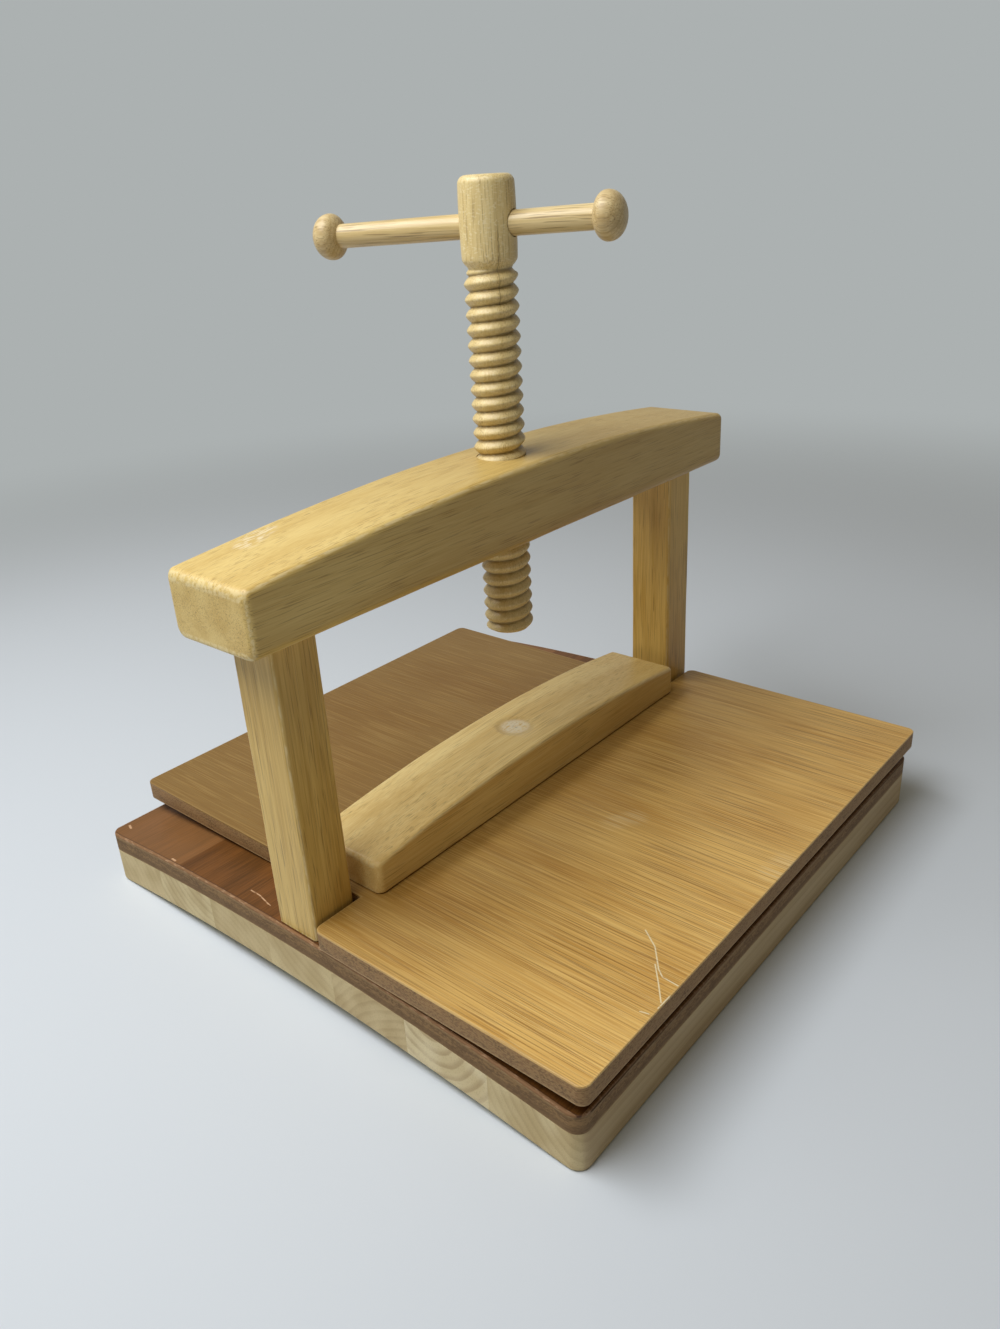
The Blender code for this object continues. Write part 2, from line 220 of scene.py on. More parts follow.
def linear(hex_colour):
    """An sRGB hex colour as the linear RGBA that shaders take."""
    channels = [int(hex_colour[i:i + 2], 16) / 255 for i in (1, 3, 5)]
    return [c / 12.92 if c <= 0.04045 else ((c + 0.055) / 1.055) ** 2.4 for c in channels] + [1]


def quarter_inset(distance, radius):
    """How far a quarter-round of this radius draws a side in, at a distance from the end:
    radius minus the chord height of the circle there, and nothing past the rounding."""
    short = np.clip(radius - distance, 0, None)
    return radius - np.sqrt(np.clip(radius ** 2 - short ** 2, 0, None))


def wave(along, length, size, start):
    """A slow hand-sanded waviness: three sines whose lengths don't repeat together."""
    t = along / length * tau
    return size * (np.sin(t + start) + 0.6 * np.sin(1.7 * t + 2.1 * start)
                   + 0.4 * np.sin(3.1 * t + 0.7 * start)) / 2


def stations(low, high, rounding, steps):
    """Places along a piece: a quarter-round by equal angles at both ends, some places close
    beside it where an arris wears, and even steps between."""
    turn = rounding * (1 - np.cos(np.linspace(0, pi / 2, corner_steps + 1)))
    near = np.concatenate([turn, rounding + near_arris])
    middle = np.linspace(low + near[-1], high - near[-1], steps)
    return np.concatenate([low + near[:-1], middle, (high - near[:-1])[::-1]])


def rounded_rings(half_a, half_b, radii):
    """Rounded rectangles, one for each row: four quarter circles of the row's radii, in the
    order ++, -+, --, +-, joined by straight sides with points close beside each corner."""
    turn = (np.arange(4)[:, None] + np.linspace(0, 1, corner_steps + 1)) * pi / 2
    sign_a = np.array([1, -1, -1, 1])[None, :, None]
    sign_b = np.array([1, 1, -1, -1])[None, :, None]
    r = radii[:, :, None]
    a = sign_a * (half_a[:, None, None] - r) + r * np.cos(turn)
    b = sign_b * (half_b[:, None, None] - r) + r * np.sin(turn)
    corner = np.stack([a, b], -1)
    start = corner[:, :, -1:]
    side = np.roll(corner, -1, axis=1)[:, :, :1] - start
    length = np.linalg.norm(side, axis=-1)
    near = near_arris / np.maximum(length, 3 * near_arris[-1])
    middle = near[..., -1:] + (1 - 2 * near[..., -1:]) * np.linspace(0, 1, 4)
    share = np.concatenate([near[..., :-1], middle, 1 - near[..., -2::-1]], -1)
    return np.concatenate([corner, start + side * share[..., None]], 2).reshape(
        len(half_a), -1, 2)


def closed_mesh(name, rings, **point_values):
    """A closed mesh through rings (rows, columns, 3): quads between neighbouring rings and a
    flat face over each end ring, turned so that the enclosed volume is positive."""
    rows, columns, _ = rings.shape
    points = rings.reshape(-1, 3)
    r, c = np.meshgrid(np.arange(rows - 1), np.arange(columns), indexing="ij")
    n = (c + 1) % columns
    quads = np.stack([r * columns + c, r * columns + n, (r + 1) * columns + n,
                      (r + 1) * columns + c], -1).reshape(-1, 4)
    centred = points - points.mean(0)
    a, b, d, e = (centred[quads[:, k]] for k in range(4))
    volume = np.einsum("ij,ij->", a, np.cross(b, d)) + np.einsum("ij,ij->", a, np.cross(d, e))
    first = np.arange(columns)[::-1]
    last = np.arange(columns) + (rows - 1) * columns
    faces = quads.tolist() + [first.tolist(), last.tolist()]
    if volume < 0:
        faces = [face[::-1] for face in faces]
    mesh = bpy.data.meshes.new(name)
    mesh.from_pydata(points.tolist(), [], faces)
    for key, values in point_values.items():
        stored = mesh.attributes.new(key, "FLOAT", "POINT")
        stored.data.foreach_set("value", np.ascontiguousarray(values, np.float32).ravel())
    return mesh


def bar(name, axes, place, half_a, low, high, radii):
    """A bar with one section at each place along it, closed by smaller rings on its end faces.

    axes gives the columns of (along, across, up) as XYZ numbers, half_a the half width, low
    and high the underside and top, and radii the four arris radii, each with one row for each
    place. The value edge is 1 along the middle of an arris and falls away from it, by the second
    smallest of a point's distances to the faces less that of the middle of a rounding; the
    value rise goes from 0 at the bottom to 1 at the top.
    """
    count = len(place)
    inner = np.array([0.15, 0.55, 0.84, 0.95])
    rows = np.concatenate([[0] * len(inner), np.arange(count), [count - 1] * len(inner)])
    size = np.concatenate([inner, np.ones(count), inner[::-1]])[:, None]
    low, high = low[rows][:, None], high[rows][:, None]
    rings = rounded_rings(half_a[rows], (high - low)[:, 0] / 2, radii[rows])
    across = rings[..., 0] * size
    up = rings[..., 1] * size + (low + high) / 2
    along = np.broadcast_to(place[rows][:, None], across.shape)
    points = np.empty(across.shape + (3,))
    points[..., axes[0]], points[..., axes[1]], points[..., axes[2]] = along, across, up
    distances = np.stack([np.minimum(along - place[0], place[-1] - along),
                          half_a.max() - np.abs(across),
                          np.minimum(np.abs(high - up), np.abs(up - low))], -1)
    middle = (1 - np.sqrt(0.5)) * radii[rows].mean(1)[:, None]
    second = np.sort(distances, -1)[..., 1] - middle
    return closed_mesh(name, points, edge=np.exp(-np.clip(second, 0, None) / arris_reach),
                       rise=(up - low) / (high - low))


def arched_bar(name, node, rise, arris, corner, low_arris, foot, steps):
    """A bar along X whose top is a parabola over its length. Its ends are rounded by corner
    in plan, by arris above and by foot below; all arrises waver a little, as sanded ones do."""
    low, high = box(node)
    half = high[0]
    x = stations(-half, half, corner, steps)
    from_end = half - np.abs(x)
    top = high[2] - rise * (x / half) ** 2 - quarter_inset(from_end, arris)
    half_y = high[1] - quarter_inset(from_end, corner)
    bottom = low[2] + quarter_inset(from_end, foot)
    above = arris + wave(x, 110 * mm, arris * 0.09, 1.3)
    below = low_arris + wave(x, 130 * mm, low_arris * 0.08, 0.2)
    radii = np.stack([above, above + wave(x, 170 * mm, arris * 0.05, 2.2), below, below], 1)
    return bar(name, (0, 1, 2), x, half_y, bottom, top, radii)


def crown_at(y, depth_half):
    """Height of the bowed base over the table: a parabola between the two bearing lands."""
    return base_crown * np.clip(1 - (y / (depth_half - bearing_land)) ** 2, 0, None)


def bowed_layer(name, low_y, high_y, bottom, top, arris_low, arris_high, base):
    """One layer of the base between two lines across its depth. It follows the base's crown
    and its rounded plan corners, and its arrises are sanded by their own radii."""
    depth_half = base[1]
    y = stations(low_y, high_y, fine_arris, 2 + round((high_y - low_y) / layer_step))
    from_corner = base_corner * (1 - np.cos(np.linspace(0, pi / 2, 12)))
    turn = np.concatenate([from_corner - depth_half, depth_half - from_corner])
    y = np.concatenate([y, turn[(turn > low_y) & (turn < high_y)]])
    y = np.unique(np.round(y, 6))
    half_x = base[0] - quarter_inset(depth_half - np.abs(y), base_corner)
    lift = crown_at(y, depth_half)
    from_joint = quarter_inset(np.minimum(y - low_y, high_y - y), fine_arris)
    from_front = np.minimum(y + depth_half, depth_half - y)
    drop = np.maximum(from_joint, quarter_inset(from_front, arris_high))
    foot = np.maximum(from_joint, quarter_inset(from_front, arris_low))
    radii = np.stack([np.full_like(y, arris_high)] * 2 + [np.full_like(y, arris_low)] * 2, 1)
    return bar(name, (1, 0, 2), y, half_x, bottom + lift + foot, top + lift - drop, radii)


def rounded_plan(corners, radius):
    """Closed plan outline through corners (x, y, rounded): an arc of the radius at each
    rounded corner, and the corner itself elsewhere."""
    points = []
    count = len(corners)
    for n, (x, y, rounded) in enumerate(corners):
        here = np.array((x, y))
        before = np.array(corners[n - 1][:2]) - here
        after = np.array(corners[(n + 1) % count][:2]) - here
        before, after = before / np.linalg.norm(before), after / np.linalg.norm(after)
        if rounded:
            turn = np.linspace(0, pi / 2, plan_corner_steps + 1)[:, None]
            centre = here + (before + after) * radius
            points.append(centre - after * radius * np.cos(turn) - before * radius * np.sin(turn))
        else:
            points.append(here[None])
    return np.concatenate(points)


def slab(name, outline, bottom, top, arris_low, arris_high):
    """A flat layer with a plan outline: an edge profile of (inset, height) carried round the
    outline, each point moved in along the mitre of its two sides, and closed above and below."""
    before = outline - np.roll(outline, 1, axis=0)
    after = np.roll(outline, -1, axis=0) - outline
    normals = [np.stack([-v[:, 1], v[:, 0]], 1) / np.linalg.norm(v, axis=1)[:, None]
               for v in (before, after)]
    mitre = normals[0] + normals[1]
    mitre /= (mitre * normals[0]).sum(1)[:, None]
    turn = np.linspace(0, pi / 2, 5)
    rim = near_arris[::-1][1:]
    insets = np.concatenate([rim + arris_low, arris_low * (1 - np.sin(turn)),
                             arris_high * (1 - np.cos(turn)), (rim + arris_high)[::-1]])
    heights = np.concatenate([np.full_like(rim, bottom), bottom + arris_low * (1 - np.cos(turn)),
                              top - arris_high * (1 - np.sin(turn)), np.full_like(rim, top)])
    flat = outline[None] + mitre[None] * insets[:, None, None]
    points = np.concatenate([flat, np.broadcast_to(heights[:, None, None],
                                                   flat.shape[:2] + (1,))], -1)
    inside = np.concatenate([rim, np.zeros(2 * len(turn)), rim[::-1]])
    drop = np.where(inside > 0, 0, np.minimum(heights - bottom, top - heights))
    edge = np.exp(-(inside + drop) / arris_reach)
    rise = (heights - bottom) / (top - bottom)
    return closed_mesh(name, points, edge=np.broadcast_to(edge[:, None], flat.shape[:2]),
                       rise=np.broadcast_to(rise[:, None], flat.shape[:2]))


def rings_about_z(radius, heights, angle):
    """Rings about +Z: a point at each angle, by its row's height and its own or its row's
    radius."""
    return np.stack([radius * np.cos(angle), radius * np.sin(angle),
                     np.broadcast_to(heights[:, None], (len(heights), len(angle)))], -1)


def turned(name, heights, radii, columns=round_columns):
    """A turned piece about +Z: a circle of each radius at each height."""
    angle = np.arange(columns) / columns * tau
    return closed_mesh(name, rings_about_z(radii[:, None], heights, angle))


def threaded_rings(z, root, low_fade, high_fade, columns):
    """Rings of a right-hand thread about +Z, and how deep each point lies in its groove.

    At height z and angle a the place in the turn is z over the pitch less a over a full turn.
    The thread stands over its root by the depth times 1 less the distance from the crest, as
    a share of half a turn, to the power of its roundness; it fades to the root at both ends.
    """
    angle = np.arange(columns) / columns * tau
    turns = z[:, None] / screw_pitch - angle[None] / tau
    share = 1 - np.abs(2 * (turns % 1) - 1) ** thread_roundness
    full = np.clip((z - z[0]) / low_fade, 0, 1) * np.clip((z[-1] - z) / high_fade, 0, 1)
    radius = root + thread_depth * share * full[:, None]
    return rings_about_z(radius, z, angle + tommy_heading), 1 - share


def put(name, data):
    """Put a mesh, a lamp or a camera in the scene."""
    holder = bpy.data.objects.new(name, data)
    bpy.context.scene.collection.objects.link(holder)
    return holder


def carve(mesh, cutters):
    """Take closed meshes out of a mesh with an exact Boolean, and keep the result."""
    body = put("carved", mesh)
    tools = []
    for cutter in cutters:
        tool = put("cutter", cutter)
        step = body.modifiers.new("cut", "BOOLEAN")
        step.operation, step.solver, step.object = "DIFFERENCE", "EXACT", tool
        tools.append(tool)
    bpy.context.view_layer.update()
    graph = bpy.context.evaluated_depsgraph_get()
    carved = bpy.data.meshes.new_from_object(body.evaluated_get(graph))
    carved.name = mesh.name
    for used in [body, *tools]:
        bpy.data.objects.remove(used)
    return carved


def finish_piece(mesh, material, body, node):
    """Put a mesh in the scene with its finish, riding on a body in the place of its node."""
    mesh.shade_smooth()
    mesh.set_sharp_from_angle(angle=sharp_angle)
    mesh.materials.clear()
    mesh.materials.append(material)
    piece = put(mesh.name, mesh)
    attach(piece, body)
    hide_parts(node)


def new_finish(name, colour):
    """A node material in one colour: its tree, its Principled shader and its Object
    coordinates."""
    material = bpy.data.materials.new(name)
    material.use_nodes = True
    tree = material.node_tree
    shader = tree.nodes["Principled BSDF"]
    shader.inputs["Base Color"].default_value = linear(colour)
    place = add(tree, "TexCoord", {}).outputs["Object"]
    return material, tree, shader, place


def add(tree, kind, inputs, **settings):
    """Add a node: settings are its own properties, and inputs fill its sockets, by name or
    number, with a value or with a link from another node's socket."""
    node = tree.nodes.new("ShaderNode" + kind)
    for key, value in settings.items():
        setattr(node, key, value)
    for key, value in inputs.items():
        if isinstance(value, bpy.types.NodeSocket):
            tree.links.new(value, node.inputs[key])
        else:
            node.inputs[key].default_value = value
    return node


def product(tree, *values):
    """The product of several values or sockets."""
    total = values[0]
    for value in values[1:]:
        total = add(tree, "Math", {0: total, 1: value}, operation="MULTIPLY").outputs[0]
    return total


def weighed(tree, *parts):
    """The sum of (socket, weight) pairs."""
    total = 0.0
    for socket, weight in parts:
        total = add(tree, "Math", {0: socket, 1: weight, 2: total},
                    operation="MULTIPLY_ADD").outputs[0]
    return total


def strongest(tree, *values):
    """The greatest of several values or sockets."""
    greatest = values[0]
    for value in values[1:]:
        greatest = add(tree, "Math", {0: greatest, 1: value}, operation="MAXIMUM").outputs[0]
    return greatest


def axis_distance(tree, place):
    """Distance from the Z axis."""
    level = add(tree, "VectorMath", {0: place, 1: (1, 1, 0)}, operation="MULTIPLY")
    return add(tree, "VectorMath", {0: level.outputs[0]}, operation="LENGTH").outputs["Value"]


def between(tree, value, low, high):
    """0 below low, 1 above high and a smooth step between them."""
    return add(tree, "MapRange", {"Value": value, "From Min": low, "From Max": high},
               interpolation_type="SMOOTHSTEP").outputs[0]


def outside(tree, value, low, high):
    """1 below low, 0 above high and a smooth step between them."""
    return add(tree, "MapRange", {"Value": value, "From Min": low, "From Max": high,
                                  "To Min": 1.0, "To Max": 0.0},
               interpolation_type="SMOOTHSTEP").outputs[0]


def grain(tree, place, size, detail=1.0, start=0.0, warp=0.0):
    """Noise in cells of this size in mm along X, Y and Z: long cells are fibres."""
    spread = add(tree, "Mapping", {"Vector": place, "Scale": [1 / (s * mm) for s in size],
                                   "Location": (start, start * 0.7, start * 1.3)})
    return add(tree, "TexNoise", {"Vector": spread.outputs[0], "Scale": 1.0, "Detail": detail,
                                  "Roughness": 0.55, "Distortion": warp}).outputs[0]


def fibres(tree, place, along, width, length, detail=1.0, start=0.0, warp=0.0):
    """Noise drawn out along the wood, in cells of a width and a length in mm."""
    size = [width] * 3
    size[along] = length
    return grain(tree, place, size, detail, start, warp)


def lay_over(shader, colour, *shares):
    """Lay a colour over what the shader has, by the product of its shares."""
    tree = shader.id_data
    base = shader.inputs["Base Color"]
    under = base.links[0].from_socket if base.links else base.default_value
    laid = add(tree, "Mix", {0: product(tree, *shares), 6: under, 7: linear(colour)},
               data_type="RGBA")
    tree.links.new(laid.outputs[2], base)


def surface(shader, roughness, height, depth):
    """Give the shader its roughness, and raise the surface by depth where height is 1."""
    tree = shader.id_data
    tree.links.new(roughness, shader.inputs["Roughness"])
    bump = add(tree, "Bump", {"Height": height, "Distance": depth, "Strength": 1.0})
    tree.links.new(bump.outputs[0], shader.inputs["Normal"])


def near_paths(tree, place, paths):
    """1 on (width, path) marks drawn on a level face and 0 past their widths: for each, the
    least distance to its straight pieces, from the place on the piece nearest to the point."""
    level = add(tree, "VectorMath", {0: place, 1: (1, 1, 0)}, operation="MULTIPLY").outputs[0]
    marks = []
    for width, path in paths:
        least = 1.0
        for (x0, y0), (x1, y1) in zip(path, path[1:]):
            step = Vector((x1 - x0, y1 - y0, 0)) * mm
            reach = add(tree, "VectorMath", {0: level, 1: (x0 * mm, y0 * mm, 0)},
                        operation="SUBTRACT").outputs[0]
            share = add(tree, "VectorMath", {0: reach, 1: step / step.length_squared},
                        operation="DOT_PRODUCT").outputs["Value"]
            share = add(tree, "Math", {0: share, 1: 1.0}, operation="MULTIPLY",
                        use_clamp=True).outputs[0]
            foot = add(tree, "VectorMath", {0: step, 3: share}, operation="SCALE").outputs[0]
            away = add(tree, "VectorMath", {0: reach, 1: foot},
                       operation="DISTANCE").outputs["Value"]
            least = add(tree, "Math", {0: least, 1: away}, operation="MINIMUM").outputs[0]
        marks.append(outside(tree, least, width * mm * 0.25, width * mm * 0.75))
    return strongest(tree, *marks)


def lacquered_hardwood(name, along, pale, deep, pore, start, band, heading=0.0,
                       pore_share=0.45, gloss=0.40, heart=None):
    """Pale diffuse-porous hardwood, planed and sanded, under a thin clear lacquer.

    The tree's growth gives soft bands along the grain and, on turned ends, faint rings about
    a heart line (y, z); cut vessels give short dark pores; handling rubs the arrises pale.
    Real pores are a tenth of a millimetre wide, and are drawn four times as wide so that they
    show.
    """
    material, tree, shader, place = new_finish(name, pale)
    place = add(tree, "Mapping", {"Vector": place, "Rotation": (0, 0, -heading)}).outputs[0]
    bands = fibres(tree, place, along, band, 150, 2.0, start, 0.3)
    lines = fibres(tree, place, along, 0.55, 26, 1.0, start + 3)
    cloud = fibres(tree, place, along, 38, 80, 1.0, start + 5)
    tone = weighed(tree, (bands, 0.38), (lines, 0.32), (cloud, 0.30))
    lay_over(shader, deep, between(tree, tone, 0.32, 0.70))
    if heart:
        centred = add(tree, "Mapping", {"Vector": place, "Scale": (0.05, 1, 1),
                                        "Location": (0, -heart[0], -heart[1])})
        radius = add(tree, "VectorMath", {0: centred.outputs[0]}, operation="LENGTH")
        radius = weighed(tree, (bands, 1.6 * mm), (radius.outputs["Value"], 1.0))
        turn = add(tree, "Math", {0: radius, 1: 0.9 * mm}, operation="PINGPONG").outputs[0]
        lay_over(shader, deep, between(tree, turn, 0.4 * mm, 0.9 * mm), 0.4)
    dashes = fibres(tree, place, along, 0.45, 17, 0.0, start + 7)
    patches = fibres(tree, place, along, 14, 40, 1.0, start + 9)
    pores = product(tree, between(tree, dashes, 0.60, 0.70), between(tree, patches, 0.25, 0.55))
    lay_over(shader, pore, pores, pore_share)
    edge = add(tree, "Attribute", {}, attribute_name="edge").outputs["Fac"]
    rubbing = fibres(tree, place, along, 1.6, 7, 2.0, start + 11)
    rubbed = product(tree, between(tree, edge, 0.66, 0.98), between(tree, rubbing, 0.36, 0.58))
    lay_over(shader, "#F0E0B0", rubbed, 0.50)
    surface(shader, weighed(tree, (lines, 0.12), (rubbed, 0.10), (1.0, gloss - 0.06)),
            weighed(tree, (lines, 0.35), (pores, -0.4), (rubbing, 0.25)), 0.06 * mm)
    return material, tree, shader, place


def beam_hardwood():
    """The beam's hardwood, painted darker towards its right end as shade where the light falls
    off, with a rubbed place on top.
    """
    wood, tree, shader, place = lacquered_hardwood(
        "beam_hardwood", 0, "#E2C880", "#C8A659", "#7C5618", start=2.0, band=11,
        pore_share=0.42)
    right = add(tree, "SeparateXYZ", {"Vector": place}).outputs["X"]
    # Painted shade: the wood is darkened towards the right end, where the light falls off
    lay_over(shader, "#8E6C2C", between(tree, right, *beam_falloff_shade), 0.38)
    marks = fibres(tree, place, 0, 1.1, 5, 1.0, 91.0)
    lay_over(shader, "#F6ECD0", near_paths(tree, place, beam_scuff_paths),
             between(tree, marks, 0.44, 0.60), 0.5)
    return wood


def spreader_hardwood():
    """The spreader bar's hardwood, painted darker towards its right end as shade where the light
    falls off. Where the screw bears, the
    lacquer is worn off: bare fibres look whitish, inside a faint dark rim and round dark dots."""
    wood, tree, shader, place = lacquered_hardwood(
        "spreader_hardwood", 0, "#F5DE9C", "#DCBA72", "#7F5C24", start=21.0, band=6,
        pore_share=0.36)
    right = add(tree, "SeparateXYZ", {"Vector": place}).outputs["X"]
    # Painted shade: the wood is darkened towards the right end, where the light falls off
    lay_over(shader, "#9A7632", between(tree, right, *spreader_falloff_shade), 0.34)
    smear = grain(tree, place, (2.4, 1.2, 1), 2.0, 3.0)
    from_axis = weighed(tree, (smear, 5.0 * mm), (axis_distance(tree, place), 1.0),
                        (1.0, -2.5 * mm))
    inside_rim = between(tree, from_axis, scuff_radius - 0.8 * mm, scuff_radius)
    in_ring = outside(tree, from_axis, wear_ring_radius - 0.6 * mm, wear_ring_radius + 0.8 * mm)
    lay_over(shader, "#A08C68", inside_rim, in_ring, 0.18)
    scuffed = outside(tree, from_axis, scuff_radius - 2.4 * mm, scuff_radius + 1.4 * mm)
    lay_over(shader, "#EAE2CC", scuffed, between(tree, smear, 0.26, 0.52), 0.75)
    middle = outside(tree, from_axis, 0.9 * mm, 2.6 * mm)
    lay_over(shader, "#6A6252", middle, between(tree, smear, 0.50, 0.62), 0.8)
    return wood


def screw_hardwood():
    """The screw's hardwood: dirt and painted shade darken the thread's grooves, its crests are
    rubbed pale in flecks, and a drying check, a thin dark crack, runs down the head."""
    wood, tree, shader, place = lacquered_hardwood(
        "screw_hardwood", 2, "#E6D29A", "#CCB274", "#8E7040", start=51.0, band=4)
    groove = add(tree, "Attribute", {}, attribute_name="groove").outputs["Fac"]
    dirt = fibres(tree, place, 2, 3, 3, 2.0, 55.0)
    # Dirt and painted shade: the deeper in its groove a point lies, the darker it is painted
    groove_dirt_and_shade = weighed(tree, (groove, 1.0), (dirt, 0.5), (1.0, -0.25))
    lay_over(shader, "#75592E", between(tree, groove_dirt_and_shade, 0.45, 1.0), 0.60)
    flecks = fibres(tree, place, 2, 1.5, 0.7, 1.0, 57.0)
    lay_over(shader, "#F2E5BE", outside(tree, groove_dirt_and_shade, -0.10, 0.20),
             between(tree, flecks, 0.52, 0.66), 0.5)
    facing = add(tree, "Mapping", {"Vector": place, "Rotation": (0, 0, -check_heading)})
    facing = add(tree, "SeparateXYZ", {"Vector": facing.outputs[0]})
    outward, aside, height = facing.outputs
    aside = weighed(tree, (aside, 1.0), (dirt, 1.8 * mm), (1.0, -0.9 * mm))
    aside = add(tree, "Math", {0: aside}, operation="ABSOLUTE").outputs[0]
    lay_over(shader, "#6E5830", outside(tree, aside, 0.10 * mm, 0.42 * mm),
             between(tree, outward, 2 * mm, 5 * mm),
             between(tree, height, check_bottom, check_bottom + 6 * mm),
             outside(tree, height, check_top - 8 * mm, check_top), 0.5)
    return wood


def golden_veneer():
    """Straight-grained open-pored veneer, sliced and varnished to a satin sheen: dark pore
    lines along Y on finely striped gold, painted darker and browner behind as shade in place of
    the sheen on its front, and plainer there; a bright sanded arris in front, and the white
    scratches and scuffs that opened the varnish there. The pore lines are drawn about twice as
    wide as real ones."""
    material, tree, shader, place = new_finish("golden_veneer", "#E9C274")
    stripes = fibres(tree, place, 1, 3.4, 120, 2.0, 1.0, 0.15)
    threads = fibres(tree, place, 1, 0.6, 45, 1.0, 4.0)
    cloud = fibres(tree, place, 1, 45, 110, 1.0, 2.0)
    tone = weighed(tree, (stripes, 0.12), (threads, 0.48), (cloud, 0.40))
    lay_over(shader, "#C59548", between(tree, tone, 0.32, 0.68))
    # Painted shade: the veneer behind is darkened, standing in for the sheen that lights the
    # front
    behind = add(tree, "SeparateXYZ", {"Vector": place}).outputs["Y"]
    shade_behind = between(tree, behind, *veneer_shading_span)
    lay_over(shader, "#654507", shade_behind, 0.84)
    in_front = weighed(tree, (shade_behind, -0.75), (1.0, 1.0))
    pale_lines = fibres(tree, place, 1, 0.7, 40, 0.0, 12.0)
    lay_over(shader, "#EFCC80", between(tree, pale_lines, 0.58, 0.62), in_front, 0.32)
    lines = fibres(tree, place, 1, 0.5, 70, 1.0, 6.0)
    patches = fibres(tree, place, 1, 14, 60, 0.0, 8.0)
    pores = product(tree, between(tree, lines, 0.55, 0.60), between(tree, patches, 0.05, 0.50),
                    in_front)
    lay_over(shader, "#6E440C", pores, 0.46)
    edge = add(tree, "Attribute", {}, attribute_name="edge").outputs["Fac"]
    lay_over(shader, "#DEBC7C", between(tree, edge, 0.74, 0.95), in_front, 0.4)
    broken = fibres(tree, place, 1, 0.8, 3.0, 1.0, 14.0)
    scratches = product(tree, near_paths(tree, place, scratch_paths),
                        between(tree, broken, 0.22, 0.42))
    scuffs = product(tree, near_paths(tree, place, scuff_paths),
                     between(tree, pale_lines, 0.40, 0.70), 0.26)
    lay_over(shader, "#EBDCB4", strongest(tree, scratches, scuffs))
    surface(shader, weighed(tree, (threads, 0.16), (scratches, 0.2), (1.0, 0.34)),
            weighed(tree, (threads, 0.4), (pores, -1.0)), 0.06 * mm)
    return material


def red_brown_veneer():
    """Reddish brown veneer in two leaves, sliced and wiped with oil: short streaks along X, a
    shade before the joint of the leaves, a thin dark line where the leaf ends, the pinkish layer
    below it laid bare on the worn arris, and small nicks."""
    material, tree, shader, place = new_finish("red_brown_veneer", "#764B22")
    stripes = fibres(tree, place, 0, 6, 70, 2.0, 1.0, 0.4)
    threads = fibres(tree, place, 0, 0.7, 16, 2.0, 4.0)
    cloud = fibres(tree, place, 0, 26, 40, 1.0, 3.0)
    tone = weighed(tree, (stripes, 0.30), (threads, 0.45), (cloud, 0.25))
    lay_over(shader, "#563614", between(tree, tone, 0.37, 0.64))
    behind = add(tree, "SeparateXYZ", {"Vector": place}).outputs["Y"]
    past_joint = between(tree, behind, leaf_joint_y - 0.5 * mm, leaf_joint_y + 0.5 * mm)
    lay_over(shader, "#A3784E", past_joint, 0.30)
    lay_over(shader, "#573619", outside(tree, past_joint, 0.0, 1.0),
             between(tree, behind, leaf_joint_y - 14 * mm, leaf_joint_y), 0.35)
    edge = add(tree, "Attribute", {}, attribute_name="edge").outputs["Fac"]
    bare = between(tree, edge, 0.47, 0.54)
    specks = fibres(tree, place, 1, 0.9, 4, 2.0, 5.0)
    lay_over(shader, "#8A6848", bare, 0.85)
    lay_over(shader, "#B39272", bare, between(tree, specks, 0.52, 0.66), 0.6)
    lay_over(shader, "#4A2E1A", between(tree, edge, 0.36, 0.41),
             outside(tree, edge, 0.47, 0.54), 0.75)
    lay_over(shader, "#C6A07C", near_paths(tree, place, nick_paths),
             between(tree, specks, 0.36, 0.52))
    shader.inputs["Specular IOR Level"].default_value = 0.22
    surface(shader, weighed(tree, (threads, 0.2), (bare, 0.2), (1.0, 0.32)), threads, 0.05 * mm)
    return material


def fibre_board(name, light, dark, worn, start, low_share=0.0):
    """Brown pressed fibre board with a sawn and sanded edge: coarse fibres that lie level,
    rubbed paler on its arrises. A low share above nothing gives its lower part a darker layer."""
    material, tree, shader, place = new_finish(name, light)
    layers = grain(tree, place, (14, 14, 0.9), 2.0, start)
    specks = grain(tree, place, (1.3, 1.3, 0.6), 2.0, start + 2)
    clumps = grain(tree, place, (9, 9, 3), 1.0, start + 6)
    tone = weighed(tree, (layers, 0.24), (specks, 0.52), (clumps, 0.24))
    lay_over(shader, dark, between(tree, tone, 0.42, 0.58))
    if low_share:
        rise = add(tree, "Attribute", {}, attribute_name="rise").outputs["Fac"]
        lower = outside(tree, weighed(tree, (rise, 1.0), (clumps, 0.12)), low_share,
                        low_share + 0.10)
        lay_over(shader, dark, lower, 0.55)
    edge = add(tree, "Attribute", {}, attribute_name="edge").outputs["Fac"]
    lay_over(shader, worn, between(tree, edge, 0.45, 0.95),
             between(tree, specks, 0.36, 0.58), 0.75)
    surface(shader, weighed(tree, (tone, 0.2), (1.0, 0.62)), tone, 0.16 * mm)
    return material


